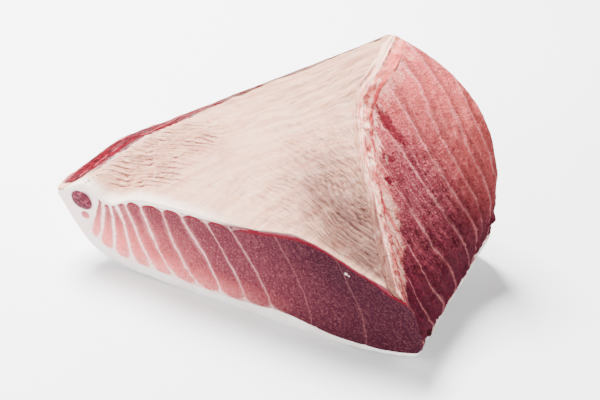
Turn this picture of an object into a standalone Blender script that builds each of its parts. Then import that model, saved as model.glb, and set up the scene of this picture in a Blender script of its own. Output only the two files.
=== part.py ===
"""Block of tuna belly, lying skin down, with its cut faces as the fishmonger left them.

The block is a loft along the fish. A section is worked out at each station v, from the near
cut (v = 0), a broad thin belly flap, to the far cut (v = 1), a deep wedge that peaks where
the backbone was. A section has four sides: the skin underneath, the side cut on the right,
the wall of the belly cavity on top and the midline cut on the left. Inside a section the
layers follow lines of equal depth, so each layer is one solid that runs from cut to cut.
"""
import math

import bmesh
import bpy
from mathutils import Vector

# Driving dimensions, in metres. The block is drawn with x across the near cut, y along the
# fish and z up from the table, then moved so that its box stands on the origin.
BOX_CENTRE_X = -0.0328
BOX_CENTRE_Y = 0.1285

FAR_CUT_Y = 0.1684          # length of the block along its right bottom edge
FAR_CUT_X = 0.1542          # x of that edge at the far cut
FAR_CUT_SKEW = 0.3054       # how much the far cut slants back towards the left

GAP = 0.0003                # clearance between neighbouring layers
STATIONS = 20               # slices along the block

TIP_SKIN = (-0.2240, 0.0710)      # ventral skin edge at the near cut
FAR_SKIN = (-0.1360, 0.0360)      # the same edge at the far cut
TIP_RIM = (-0.2220, 0.0780)       # rim above it at the near cut
RIM_RUN = 0.2460                  # how far the rim moves across to the far peak
RIM_RUN_POWER = 1.7
RIM_RISE = (0.0400, 0.0820)       # linear and cubic share of the rim's rise
RIM_BUMP = (0.0060, 0.28, 0.12)   # height, station and spread of the rim's swelling

CORNER_NEAR = (0.1500, 0.0170)    # right bottom corner at the near cut
CORNER_FAR = (0.1540, 0.0200)
FLAT_NEAR = (-0.0750, 0.0550)     # stretch of skin that lies flat on the table
FLAT_FAR = (-0.0650, 0.0850)
SKIN_LEFT_NEAR = ((0.0380, -0.0660), (-0.1200, 0.0030))
SKIN_LEFT_FAR = ((0.0200, -0.0160), (-0.0280, 0.0000))
SKIN_LEFT_SHARE = (0.42, 0.28)    # share of the section's bottom left of the flat stretch
SKIN_RIGHT_SHARE = 0.22

# Ridge between the cavity wall and the side cut: station, x and z.
RIDGE = (
    (0.00, 0.1300, 0.0860),
    (0.25, 0.0940, 0.1090),
    (0.50, 0.0560, 0.1340),
    (0.70, 0.0290, 0.1510),
    (0.80, 0.0250, 0.1680),
    (0.90, 0.0330, 0.1890),
    (1.00, 0.0340, 0.2040),
)
SIDE_NEAR = ((0.0110, 0.0210), (0.0210, -0.0220))  # the side cut's handles, from its ends
SIDE_FAR = ((0.0160, 0.1200), (0.1140, -0.0050))
SIDE_POWER = 1.6            # its bulge grows faster towards the far cut

ARCH_NEAR = 0.0220          # crown of the cavity wall at the near cut
ARCH_SAG = 0.0110           # how far it hangs in further back
SAG_WIDTH = 0.1400          # it hangs less where it is narrower than this
HUMP = (0.0150, 0.75, 0.13)       # height, place and spread of the thick part's hump
TIP_SWELL = (0.0080, 0.085, 0.040)
TIP_DIP = (0.0100, 0.165, 0.045)
FOLD_DEPTH = 0.0014         # folds of the cavity wall beside the ridge
FOLD_COUNT = 7
BLOCK_DEPTH = 0.0012        # relief of the muscle blocks on the side cut
BLOCK_COUNT = 6.5

BAND_WIDTH = 0.0120         # connective band along the ridge
BAND_DEPTH = 0.0090
RIM_WIDTH = (0.0030, 0.0260, 0.21, 0.28)   # least, extra, station and spread
RIM_START = (0.25, 0.05)   # share of the extra at the tip, and its gain over the stations
RIM_SHARE_MOST = 0.0852   # most of the section's width that it takes
RIM_DEPTH = 0.0090
WALL_LEFT = 0.0045          # cavity wall's lining
WALL_RIGHT = 0.0022
FAT_LEFT = 0.0120           # white fat under the skin
FAT_HUMP = 0.0040
FAT_RIGHT = 0.0060
TIP_FAT_COLUMN = (0.134, 0.150)   # share of the section taken by the white end
END_HEIGHT_NEAR = 0.1050    # height of the white end at the near cut, past the rim there
END_HEIGHT_FAR = 0.0430     # its height up the midline cut at the far cut
WEDGE = 0.0012              # flesh over the white end where it starts

KEEL_RADIUS = 0.0116        # round muscle inside the white end
KEEL_OFFSET_NEAR = (0.0280, 0.0020)
KEEL_OFFSET_FAR = (0.0270, 0.0040)
LOBE_RADIUS = 0.0045        # small muscle under it
LOBE_OFFSET = (0.0298, -0.0160)
LOBE_END = 0.25

# Cells of the section. A column or row line k has a place for each station, and a layer is
# the set of cells (column, row) that it fills.
COLUMN_STEPS = (2, 4, 17, 1)
ROW_STEPS = (1, 3, 6, 1)
FLESH_CELLS = {(2, 1), (3, 1), (0, 2), (1, 2), (2, 2), (3, 2)}
FAT_CELLS = {(0, 0), (1, 0), (2, 0), (3, 0), (0, 1), (1, 1)}
WALL_CELLS = {(1, 3), (2, 3)}
RIM_CELLS = {(0, 3)}
BAND_CELLS = {(3, 3)}

# Colour, roughness of each layer.
FINISHES = {
    "red_flesh": ((0.38, 0.075, 0.085, 1.0), 0.42),
    "skin_fat": ((0.82, 0.76, 0.73, 1.0), 0.45),
    "cavity_wall": ((0.74, 0.60, 0.54, 1.0), 0.40),
    "rim_flesh": ((0.26, 0.014, 0.030, 1.0), 0.38),
    "ridge_band": ((0.72, 0.47, 0.42, 1.0), 0.42),
    "keel_muscle": ((0.24, 0.060, 0.090, 1.0), 0.42),
    "keel_lobe": ((0.50, 0.17, 0.19, 1.0), 0.42),
}


def mix(a, b, t):
    """Point or number a share t of the way from a to b."""
    if isinstance(a, tuple):
        return tuple(mix(p, q, t) for p, q in zip(a, b))
    return a + (b - a) * t


def add(p, q):
    """Sum of two section points."""
    return (p[0] + q[0], p[1] + q[1])


def bell(value, centre, spread):
    """Smooth bump of height one."""
    return math.exp(-(((value - centre) / spread) ** 2))


def bezier(p0, p1, p2, p3, t):
    """Point on a cubic curve."""
    r = 1.0 - t
    weights = (r * r * r, 3 * r * r * t, 3 * r * t * t, t * t * t)
    return tuple(sum(w * p[k] for w, p in zip(weights, (p0, p1, p2, p3))) for k in (0, 1))


def ridge(v):
    """Ridge point at a station, on a smooth curve through the stations named above."""
    v = min(max(v, 0.0), 1.0)
    index = max(i for i in range(len(RIDGE) - 1) if RIDGE[i][0] <= v)
    near, far = RIDGE[index], RIDGE[index + 1]
    before = RIDGE[max(index - 1, 0)]
    after = RIDGE[min(index + 2, len(RIDGE) - 1)]
    span = far[0] - near[0]
    t = (v - near[0]) / span
    point = []
    for k in (1, 2):
        slope_near = (far[k] - before[k]) / (far[0] - before[0]) * span
        slope_far = (after[k] - near[k]) / (after[0] - near[0]) * span
        point.append(
            (2 * t ** 3 - 3 * t ** 2 + 1) * near[k]
            + (t ** 3 - 2 * t ** 2 + t) * slope_near
            + (3 * t ** 2 - 2 * t ** 3) * far[k]
            + (t ** 3 - t ** 2) * slope_far
        )
    return tuple(point)


def rim(v):
    """Rim point at a station: the left end of the cavity wall."""
    w = min(max(v, 0.0), 1.0)
    x = TIP_RIM[0] + RIM_RUN * w ** RIM_RUN_POWER
    z = TIP_RIM[1] + RIM_RISE[0] * w + RIM_RISE[1] * w ** 3
    height, centre, spread = RIM_BUMP
    return (x, z + height * bell(w, centre, spread))


def skin_edge(v):
    """Ventral skin edge at a station."""
    return mix(TIP_SKIN, FAR_SKIN, v)


def skin(s, v):
    """Skin under the section: a rise on the left, a flat stretch and a rise on the right."""
    flat_left = (mix(FLAT_NEAR[0], FLAT_FAR[0], v), 0.0)
    flat_right = (mix(FLAT_NEAR[1], FLAT_FAR[1], v), 0.0)
    left_share = mix(SKIN_LEFT_SHARE[0], SKIN_LEFT_SHARE[1], v)
    if s < left_share:
        edge = skin_edge(v)
        first = add(edge, mix(SKIN_LEFT_NEAR[0], SKIN_LEFT_FAR[0], v))
        second = add(flat_left, mix(SKIN_LEFT_NEAR[1], SKIN_LEFT_FAR[1], v))
        return bezier(edge, first, second, flat_left, s / left_share)
    if s <= 1.0 - SKIN_RIGHT_SHARE:
        t = (s - left_share) / (1.0 - left_share - SKIN_RIGHT_SHARE)
        return mix(flat_left, flat_right, t)
    corner = mix(CORNER_NEAR, CORNER_FAR, v)
    run = corner[0] - flat_right[0]
    first = (flat_right[0] + 0.40 * run, 0.0)
    second = (corner[0] - 0.22 * run, corner[1] * 0.42)
    t = (s - 1.0 + SKIN_RIGHT_SHARE) / SKIN_RIGHT_SHARE
    return bezier(flat_right, first, second, corner, t)


def side_cut(t, v):
    """Right side of the section, from the skin's corner up to the ridge."""
    corner = mix(CORNER_NEAR, CORNER_FAR, v)
    bulge = min(max(v, 0.0), 1.0) ** SIDE_POWER
    first = add(corner, mix(SIDE_NEAR[0], SIDE_FAR[0], bulge))
    second = add(ridge(v), mix(SIDE_NEAR[1], SIDE_FAR[1], bulge))
    x, z = bezier(corner, first, second, ridge(v), t)
    relief = BLOCK_DEPTH * math.sin(2 * math.pi * (BLOCK_COUNT * v + 0.6 * t))
    return (x + relief * math.sin(math.pi * t) ** 0.5, z)


def midline_cut(t, v):
    """Left side of the section, from the skin edge up to the rim, a little hollow."""
    x, z = mix(skin_edge(v), rim(v), t)
    hollow = 0.0060 * v * math.sin(math.pi * t)
    return (x + hollow, z - hollow)


def cavity(s, v):
    """Top of the section: the cavity wall from the rim to the ridge."""
    x, z = mix(rim(v), ridge(v), s)
    near = (1.0 - v) ** 1.5
    sag = ARCH_SAG * v * min(1.0, math.dist(rim(v), ridge(v)) / SAG_WIDTH) ** 2
    arch = (ARCH_NEAR * near - sag) * math.sin(math.pi * s) ** 0.8
    hump = HUMP[0] * near * bell(s, HUMP[1], HUMP[2]) * (1.0 - s ** 10)
    swell = TIP_SWELL[0] * bell(s, TIP_SWELL[1], TIP_SWELL[2])
    dip = TIP_DIP[0] * bell(s, TIP_DIP[1], TIP_DIP[2])
    tip = (swell - dip) * (1.0 - v) ** 4
    fold = FOLD_DEPTH * math.sin(2 * math.pi * FOLD_COUNT * (v + 0.45 * s))
    fold *= bell(s, 0.80, 0.20) * math.sin(math.pi * s) * math.sin(math.pi * v)
    return (x, z + arch + hump + tip + fold)


def section_point(s, t, v):
    """Point of the section at station v, blended from its four sides."""
    bottom, top = skin(s, v), cavity(s, v)
    left, right = midline_cut(t, v), side_cut(t, v)
    corners = (skin_edge(v), mix(CORNER_NEAR, CORNER_FAR, v), rim(v), ridge(v))
    point = []
    for k in (0, 1):
        ruled = mix(bottom[k], top[k], t) + mix(left[k], right[k], s)
        low = mix(corners[0][k], corners[1][k], s)
        high = mix(corners[2][k], corners[3][k], s)
        point.append(ruled - mix(low, high, t))
    return tuple(point)


def in_block(x, z, v):
    """Place a section point at its station between the near and far cuts."""
    y = v * (FAR_CUT_Y + FAR_CUT_SKEW * (FAR_CUT_X - x))
    return (x - BOX_CENTRE_X, y - BOX_CENTRE_Y, z)


def column_line(k, v):
    """Share s of the section at column line k."""
    width = math.dist(rim(v), ridge(v))
    least, extra, centre, spread = RIM_WIDTH
    extra *= min(1.0, RIM_START[0] + max(v, 0.0) / RIM_START[1])
    rim_share = (least + extra * bell(v, centre, spread)) / width
    rim_share = min(rim_share, RIM_SHARE_MOST)
    band_share = min(BAND_WIDTH / width, 0.40)
    rim_share = max(rim_share, 0.012)
    return (0.0, rim_share, mix(*TIP_FAT_COLUMN, v), 1.0 - band_share, 1.0)[k]


def row_line(k, s, v):
    """Share t of the section's height at row line k, from the depth of each layer."""
    if k in (0, 4):
        return 0.0 if k == 0 else 1.0
    height = math.dist(skin(s, v), cavity(s, v))
    columns = [column_line(i, v) for i in range(5)]
    wall = mix(WALL_LEFT, WALL_RIGHT, s) * (1.0 - 0.5 * bell(s, 0.06, 0.05) * (1.0 - v) ** 4)
    to_rim = bell(max(s - columns[1], 0.0), 0.0, 0.03)
    wall += (RIM_DEPTH * min(1.0, v / 0.15) - 0.001) * to_rim * min(1.0, v / 0.08)
    wall += (BAND_DEPTH - WALL_RIGHT) * bell(min(s - columns[3], 0.0), 0.0, 0.03)
    lining = 1.0 - min(wall / height, 0.30)
    if k == 3:
        return lining
    fat = mix(FAT_LEFT, FAT_RIGHT, min(max((s - 0.70) / 0.20, 0.0), 1.0))
    fat += FAT_HUMP * bell(s, 0.66, 0.08)
    fat_share = min(fat / height, 0.25)
    if k == 1:
        return fat_share
    end_height = mix(END_HEIGHT_FAR, END_HEIGHT_NEAR, (1.0 - v) ** 5)
    return max(min(lining - WEDGE / height, end_height / height), fat_share + 0.08)


def section_cell(u, w, v):
    """Block point for a place in the grid of cells: column u, row w, station v."""
    column, row = min(int(u), 3), min(int(w), 3)
    s = mix(column_line(column, v), column_line(column + 1, v), u - column)
    t = mix(row_line(row, s, v), row_line(row + 1, s, v), w - row)
    return in_block(*section_point(s, t, v), v)


def material_for(name):
    """Principled material with the layer's colour."""
    colour, roughness = FINISHES[name]
    material = bpy.data.materials.new(name)
    material.use_nodes = True
    shader = material.node_tree.nodes["Principled BSDF"]
    shader.inputs["Base Color"].default_value = colour
    shader.inputs["Roughness"].default_value = roughness
    shader.inputs["Metallic"].default_value = 0.0
    return material


def new_object(name, bm, collection, finish=None):
    """Turn a bmesh into a named object in a collection."""
    mesh = bpy.data.meshes.new(name)
    bm.to_mesh(mesh)
    bm.free()
    body = bpy.data.objects.new(name, mesh)
    collection.objects.link(body)
    if finish:
        mesh.materials.append(material_for(finish))
    return body


def face_outwards(bm):
    """Turn all faces of a closed shape outwards."""
    bm.normal_update()
    bmesh.ops.recalc_face_normals(bm, faces=bm.faces)
    bm.normal_update()


def cell_prism(cells):
    """Straight prism over the layer's cells, sliced at each station.

    Its x and y count columns and rows, and its z is the station from 0 to 1. Every square is
    split along the same diagonal, so that the faces of neighbouring layers match.
    """
    columns, rows = sum(COLUMN_STEPS), sum(ROW_STEPS)
    bm = bmesh.new()
    bmesh.ops.create_grid(bm, x_segments=columns, y_segments=rows, size=0.5)
    column_at = [i + j / n for i, n in enumerate(COLUMN_STEPS) for j in range(n)] + [4.0]
    row_at = [i + j / n for i, n in enumerate(ROW_STEPS) for j in range(n)] + [4.0]
    for vert in bm.verts:
        vert.co.x = column_at[round((vert.co.x + 0.5) * columns)]
        vert.co.y = row_at[round((vert.co.y + 0.5) * rows)]
    outside = []
    for face in bm.faces:
        centre = face.calc_center_median()
        if (int(centre.x), int(centre.y)) not in cells:
            outside.append(face)
    bmesh.ops.delete(bm, geom=outside, context="FACES")
    raised = bmesh.ops.extrude_face_region(bm, geom=bm.faces[:], use_keep_orig=True)
    top = [item for item in raised["geom"] if isinstance(item, bmesh.types.BMVert)]
    bmesh.ops.translate(bm, verts=top, vec=(0.0, 0.0, 1.0))
    for step in range(1, STATIONS):
        everything = bm.verts[:] + bm.edges[:] + bm.faces[:]
        plane = (0.0, 0.0, step / STATIONS)
        bmesh.ops.bisect_plane(bm, geom=everything, plane_co=plane, plane_no=(0.0, 0.0, 1.0))
    for face in bm.faces[:]:
        corners = sorted(face.verts, key=lambda vert: sum(vert.co))
        bmesh.utils.face_split(face, corners[0], corners[-1])
    face_outwards(bm)
    return bm


def shared_side(face):
    """Which inner side of the prism a face lies on, or None on the outside."""
    centre, normal = face.calc_center_median(), face.normal
    if abs(normal.z) > 0.5:
        return None
    along = 0 if abs(normal.x) > abs(normal.y) else 1
    if centre[along] < 1e-6 or centre[along] > 4.0 - 1e-6:
        return None
    return (along, round(centre[along]), normal[along] > 0.0)


def layer(name, cells, collection):
    """Make one layer: warp its prism into the block and draw its shared sides in."""
    bm = cell_prism(cells)
    sides = {face.index: shared_side(face) for face in bm.faces}
    for vert in bm.verts:
        vert.co = section_cell(*vert.co)
    face_outwards(bm)
    moves = {}
    for vert in bm.verts:
        by_side = {}
        for face in vert.link_faces:
            if sides[face.index]:
                by_side.setdefault(sides[face.index], []).append(face.normal.copy())
        if by_side:
            shift = sum((average(normals) for normals in by_side.values()), start=average([]))
            moves[vert] = keep_in_cut(vert, shift * (-0.5 * GAP))
    for vert, move in moves.items():
        vert.co += move
    return new_object(name, bm, collection, finish=name)


def average(normals):
    """Unit mean of some directions, or a zero vector for none."""
    total = Vector((0.0, 0.0, 0.0))
    for normal in normals:
        total += normal
    return total.normalized() if normals else total


def keep_in_cut(vert, move):
    """Take out of a move what would leave the flat near or far cut."""
    for face in vert.link_faces:
        if len(face.verts) >= 3 and is_cut(face):
            move = move - face.normal * move.dot(face.normal)
            break
    return move


def is_cut(face):
    """Whether a face lies in the near or far cut."""
    far = Vector((FAR_CUT_SKEW, 1.0, 0.0)).normalized()
    flat = abs(face.normal.dot(far)) > 0.99999 or abs(face.normal.y) > 0.99999
    near_y = all(abs(v.co.y + BOX_CENTRE_Y) < 1e-7 for v in face.verts)
    reach = FAR_CUT_Y + FAR_CUT_SKEW * (FAR_CUT_X - BOX_CENTRE_X) - BOX_CENTRE_Y
    far_y = all(abs(v.co.y + FAR_CUT_SKEW * v.co.x - reach) < 1e-7 for v in face.verts)
    return flat and (near_y or far_y)


def strand(radius, offsets, sides, start, end, extra=0.0):
    """Round muscle along the ventral edge, between two stations."""
    bm = bmesh.new()
    bmesh.ops.create_cone(
        bm, cap_ends=True, segments=sides, radius1=radius + extra, radius2=radius + extra, depth=1.0
    )
    steps = max(2, round(STATIONS * (end - start)))
    for step in range(1, steps):
        everything = bm.verts[:] + bm.edges[:] + bm.faces[:]
        plane = (0.0, 0.0, step / steps - 0.5)
        bmesh.ops.bisect_plane(bm, geom=everything, plane_co=plane, plane_no=(0.0, 0.0, 1.0))
    for vert in bm.verts:
        v = mix(start, end, vert.co.z + 0.5)
        centre = add(skin_edge(v), mix(*offsets, v))
        vert.co = in_block(centre[0] + vert.co.x, centre[1] + vert.co.y, v)
    face_outwards(bm)
    return bm


def bore(body, cutter):
    """Cut a strand's channel out of a layer."""
    cutter.hide_render = True
    cutter.display_type = "WIRE"
    cut = body.modifiers.new("channel", "BOOLEAN")
    cut.operation = "DIFFERENCE"
    cut.solver = "EXACT"
    cut.object = cutter


def main():
    for old in list(bpy.data.objects):
        bpy.data.objects.remove(old, do_unlink=True)
    block = bpy.data.collections.new("tuna_belly_block")
    cutters = bpy.data.collections.new("cutters")
    bpy.context.scene.collection.children.link(block)
    bpy.context.scene.collection.children.link(cutters)

    layer("red_flesh", FLESH_CELLS, block)
    fat = layer("skin_fat", FAT_CELLS, block)
    layer("cavity_wall", WALL_CELLS, block)
    layer("rim_flesh", RIM_CELLS, block)
    layer("ridge_band", BAND_CELLS, block)

    keel_path = (KEEL_OFFSET_NEAR, KEEL_OFFSET_FAR)
    lobe_path = (LOBE_OFFSET, LOBE_OFFSET)
    new_object("keel_muscle", strand(KEEL_RADIUS, keel_path, 16, 0.0, 1.0), block, "keel_muscle")
    new_object("keel_lobe", strand(LOBE_RADIUS, lobe_path, 10, 0.0, LOBE_END), block, "keel_lobe")
    keel_cutter = strand(KEEL_RADIUS, keel_path, 16, -0.05, 1.05, GAP)
    lobe_cutter = strand(LOBE_RADIUS, lobe_path, 10, -0.05, LOBE_END + 0.01, GAP)
    bore(fat, new_object("keel_channel", keel_cutter, cutters))
    bore(fat, new_object("lobe_channel", lobe_cutter, cutters))


main()
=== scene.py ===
"""Looks of the tuna belly block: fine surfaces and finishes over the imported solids.

Every layer of the block is drawn again as a dense mesh on the same form, with the wrinkles,
fat lines, torn strips and fibres of the real piece, and stands for the plain solid below it.
"""
import logging
import math
from dataclasses import dataclass, field
from enum import Enum
from functools import partialmethod

import bmesh
import bpy
import numpy as np
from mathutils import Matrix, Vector


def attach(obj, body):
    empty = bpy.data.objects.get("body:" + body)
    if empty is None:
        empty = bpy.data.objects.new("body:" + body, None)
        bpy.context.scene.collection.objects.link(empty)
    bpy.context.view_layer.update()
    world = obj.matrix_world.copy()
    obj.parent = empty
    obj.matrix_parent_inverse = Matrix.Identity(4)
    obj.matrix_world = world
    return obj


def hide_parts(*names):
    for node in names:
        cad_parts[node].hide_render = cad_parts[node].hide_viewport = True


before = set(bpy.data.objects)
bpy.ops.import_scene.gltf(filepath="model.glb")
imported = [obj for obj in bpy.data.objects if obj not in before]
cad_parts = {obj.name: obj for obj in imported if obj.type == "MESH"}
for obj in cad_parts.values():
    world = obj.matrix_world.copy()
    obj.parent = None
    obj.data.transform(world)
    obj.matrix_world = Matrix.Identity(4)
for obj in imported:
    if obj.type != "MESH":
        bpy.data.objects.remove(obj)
LOG = logging.getLogger("tuna_belly")
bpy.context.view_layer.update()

Array = np.ndarray
Pair = tuple[float, float]
Marks = tuple[tuple[float, float, float, float], ...]    # places and radii in millimetres
DECIMETRE = 0.1    # stored distances are in decimetres, so that they stay below one
PROBE = 1e-3    # step in a share that measures a slope
SIDE_RUN = 0.19    # length of the side cut along the fish, about
SIDE_RISE = 0.16    # its height towards the far end, about
THICK_LINE = 5.0    # width of a fat line, in millimetres, that is stored as one
SOFT_RADIUS = (1.0, 0.35, 0.25)    # how far each colour of light spreads in flesh


def srgb(red: float, green: float, blue: float) -> tuple[float, float, float, float]:
    """Linear colour, with alpha, of a screen colour from 0 to 255."""
    linear = []
    for value in (red, green, blue):
        c = value / 255.0
        linear.append(c / 12.92 if c <= 0.04045 else ((c + 0.055) / 1.055) ** 2.4)
    return (linear[0], linear[1], linear[2], 1.0)


def bell(value: Array, centre: float, spread: float) -> Array:
    """Smooth bump of height one."""
    return np.exp(-(((value - centre) / spread) ** 2))


def ramp(value: Array, low: float, high: float) -> Array:
    """Smooth step from 0 at low to 1 at high."""
    t = np.clip((value - low) / (high - low), 0.0, 1.0)
    return t * t * (3.0 - 2.0 * t)


def rows(*axes: Array | float) -> Array:
    """Rows of coordinates, from an array or a number for each axis."""
    return np.stack(np.broadcast_arrays(*axes), axis=1)


class Side(Enum):
    """Sides of the block that a face can lie on."""

    NEAR = 0
    FAR = 1
    LEFT = 2
    RIGHT = 3
    UNDER = 4
    TOP = 5


@dataclass(frozen=True)
class Grain:
    """Seeded smooth noise in space, from about -1 to 1."""

    seed: int
    cells: int = 32

    def sample(self, points: Array, size: float | tuple[float, ...], octaves: int = 2) -> Array:
        """Noise at some points.

        Args:
            points: One row of coordinates a point.
            size: Size of the lumps, the same in all directions or one for each.
            octaves: How many finer layers are added.

        Returns:
            One value a point.
        """
        table = np.random.default_rng(self.seed).uniform(-1.0, 1.0, (self.cells,) * 3)
        total = np.zeros(len(points))
        weight, norm = 1.0, 0.0
        place = points / np.asarray(size)
        for _ in range(octaves):
            total += weight * self._layer(table, place)
            norm += weight
            weight *= 0.5
            place = place * 2.03 + 7.1
        return total / norm * 1.6

    def _layer(self, table: Array, place: Array) -> Array:
        """One layer of noise, smoothly blended between the table's cells."""
        base = np.floor(place).astype(int)
        part = place - base
        part = part * part * (3.0 - 2.0 * part)
        value = np.zeros(len(place))
        for corner in range(8):
            offset = np.array([(corner >> k) & 1 for k in range(3)])
            index = (base + offset) % self.cells
            weight = np.prod(np.where(offset == 1, part, 1.0 - part), axis=1)
            value += weight * table[index[:, 0], index[:, 1], index[:, 2]]
        return value


@dataclass(frozen=True)
class BlockForm:
    """Form of the block, worked out section by section as in the solids.

    Sizes are in metres. A section is given by the share s across it, t up it and v along the
    block; near and far name a value on the near and on the far cut. Three values of a bump are
    its height, its centre and its spread, and rim_width has its least width before them.
    """

    centre: Pair = (-0.0328, 0.1285)
    far_cut_y: float = 0.1684
    far_cut_x: float = 0.1542
    far_cut_skew: float = 0.3054
    tip_skin: Pair = (-0.2240, 0.0710)
    far_skin: Pair = (-0.1360, 0.0360)
    tip_rim: Pair = (-0.2220, 0.0780)
    rim_run: float = 0.2460
    rim_run_power: float = 1.7
    rim_rise: Pair = (0.0400, 0.0820)
    rim_bump: tuple[float, float, float] = (0.0060, 0.28, 0.12)
    corner_near: Pair = (0.1500, 0.0170)
    corner_far: Pair = (0.1540, 0.0200)
    flat_near: Pair = (-0.0750, 0.0550)
    flat_far: Pair = (-0.0650, 0.0850)
    skin_left_near: tuple[Pair, Pair] = ((0.0380, -0.0660), (-0.1200, 0.0030))
    skin_left_far: tuple[Pair, Pair] = ((0.0200, -0.0160), (-0.0280, 0.0000))
    skin_left_share: Pair = (0.42, 0.28)
    skin_right_share: float = 0.22
    ridge_stations: tuple[float, ...] = (0.00, 0.25, 0.50, 0.70, 0.80, 0.90, 1.00)
    ridge_x: tuple[float, ...] = (0.1300, 0.0940, 0.0560, 0.0290, 0.0250, 0.0330, 0.0340)
    ridge_z: tuple[float, ...] = (0.0860, 0.1090, 0.1340, 0.1510, 0.1680, 0.1890, 0.2040)
    side_near: tuple[Pair, Pair] = ((0.0110, 0.0210), (0.0210, -0.0220))
    side_far: tuple[Pair, Pair] = ((0.0160, 0.1200), (0.1140, -0.0050))
    side_power: float = 1.6
    arch_near: float = 0.0220
    arch_sag: float = 0.0110
    sag_width: float = 0.1400
    hump: tuple[float, float, float] = (0.0150, 0.75, 0.13)
    tip_swell: tuple[float, float, float] = (0.0080, 0.085, 0.040)
    tip_dip: tuple[float, float, float] = (0.0100, 0.165, 0.045)
    fold_depth: float = 0.0014
    fold_count: float = 7.0
    block_depth: float = 0.0012
    block_count: float = 6.5
    band_width: float = 0.0120
    band_depth: float = 0.0090
    rim_width: tuple[float, float, float, float] = (0.0030, 0.0260, 0.21, 0.28)
    rim_start: Pair = (0.25, 0.05)
    rim_depth: float = 0.0090
    wall: Pair = (0.0045, 0.0022)
    fat: Pair = (0.0120, 0.0060)
    fat_hump: float = 0.0040
    tip_fat_column: Pair = (0.134, 0.150)
    rim_share_most: float = 0.0852
    end_height: Pair = (0.0430, 0.1050)
    wedge: float = 0.0012
    keel_radius: float = 0.0116
    keel_offset: tuple[Pair, Pair] = ((0.0280, 0.0020), (0.0270, 0.0040))
    lobe_radius: float = 0.0045
    lobe_offset: Pair = (0.0298, -0.0160)
    lobe_end: float = 0.25

    @staticmethod
    def blend(a: Pair | Array, b: Pair | Array, t: Array) -> Array:
        """Section points, in a row across and a row up, a share t of the way from a to b."""
        a, b = (np.reshape(np.asarray(point, dtype=float), (2, -1)) for point in (a, b))
        return a + (b - a) * t

    @staticmethod
    def bezier(points: list[Array], t: Array) -> Array:
        """Points on a cubic curve with four section points."""
        r = 1.0 - t
        weights = (r * r * r, 3 * r * r * t, 3 * r * t * t, t * t * t)
        return sum(weight * point for weight, point in zip(weights, points))

    def ridge(self, v: Array) -> Array:
        """Ridge between the cavity wall and the side cut."""
        stations = np.array(self.ridge_stations)
        values = np.array((self.ridge_x, self.ridge_z))
        last = len(stations) - 2
        index = np.clip(np.searchsorted(stations, v, side="right") - 1, 0, last)
        before, after = np.maximum(index - 1, 0), np.minimum(index + 2, last + 1)
        low, high = values[:, index], values[:, index + 1]
        span = stations[index + 1] - stations[index]
        t = np.clip((v - stations[index]) / span, 0.0, 1.0)
        rise_near = (high - values[:, before]) * span / (stations[index + 1] - stations[before])
        rise_far = (values[:, after] - low) * span / (stations[after] - stations[index])
        near = (2 * t ** 3 - 3 * t ** 2 + 1) * low + (t ** 3 - 2 * t ** 2 + t) * rise_near
        return near + (3 * t ** 2 - 2 * t ** 3) * high + (t ** 3 - t ** 2) * rise_far

    def rim(self, v: Array) -> Array:
        """Left end of the cavity wall."""
        w = np.clip(v, 0.0, 1.0)
        x = self.tip_rim[0] + self.rim_run * w ** self.rim_run_power
        z = self.tip_rim[1] + self.rim_rise[0] * w + self.rim_rise[1] * w ** 3
        height, centre, spread = self.rim_bump
        return np.stack([x, z + height * bell(w, centre, spread)])

    def skin_edge(self, v: Array) -> Array:
        """Ventral edge of the skin."""
        return self.blend(self.tip_skin, self.far_skin, v)

    def corner(self, v: Array) -> Array:
        """Right bottom corner of the section."""
        return self.blend(self.corner_near, self.corner_far, v)

    def skin(self, s: Array, v: Array) -> Array:
        """Skin under the section: a rise, a flat stretch and a second rise."""
        starts, ends = zip(self.flat_near, self.flat_far)
        left, right = (self.blend((near, 0.0), (far, 0.0), v) for near, far in (starts, ends))
        left_share, far_share = self.skin_left_share
        left_share = left_share + (far_share - left_share) * v
        edge, corner = self.skin_edge(v), self.corner(v)
        bends = [self.blend(a, b, v) for a, b in zip(self.skin_left_near, self.skin_left_far)]
        curve = [edge, edge + bends[0], left + bends[1], left]
        rise = self.bezier(curve, np.clip(s / left_share, 0.0, 1.0))
        flat_share = 1.0 - left_share - self.skin_right_share
        flat = self.blend(left, right, np.clip((s - left_share) / flat_share, 0.0, 1.0))
        run = corner[0] - right[0]
        first = np.stack([right[0] + 0.40 * run, right[1]])
        second = np.stack([corner[0] - 0.22 * run, corner[1] * 0.42])
        t = np.clip((s - 1.0 + self.skin_right_share) / self.skin_right_share, 0.0, 1.0)
        last = self.bezier([right, first, second, corner], t)
        return np.where(s < left_share, rise, np.where(s <= 1.0 - self.skin_right_share, flat, last))

    def side_cut(self, t: Array, v: Array) -> Array:
        """Right side of the section, from the skin's corner up to the ridge."""
        corner, ridge = self.corner(v), self.ridge(v)
        bulge = np.clip(v, 0.0, 1.0) ** self.side_power
        low, high = (self.blend(a, b, bulge) for a, b in zip(self.side_near, self.side_far))
        x, z = self.bezier([corner, corner + low, ridge + high, ridge], t)
        relief = self.block_depth * np.sin(2 * math.pi * (self.block_count * v + 0.6 * t))
        return np.stack([x + relief * np.sqrt(np.clip(np.sin(math.pi * t), 0.0, 1.0)), z])

    def midline_cut(self, t: Array, v: Array) -> Array:
        """Left side of the section, from the skin's edge up to the rim."""
        hollow = 0.0060 * v * np.sin(math.pi * t)
        return self.blend(self.skin_edge(v), self.rim(v), t) + np.stack([hollow, -hollow])

    def width(self, v: Array) -> Array:
        """Distance from the rim to the ridge."""
        return np.hypot(*(self.ridge(v) - self.rim(v)))

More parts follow.
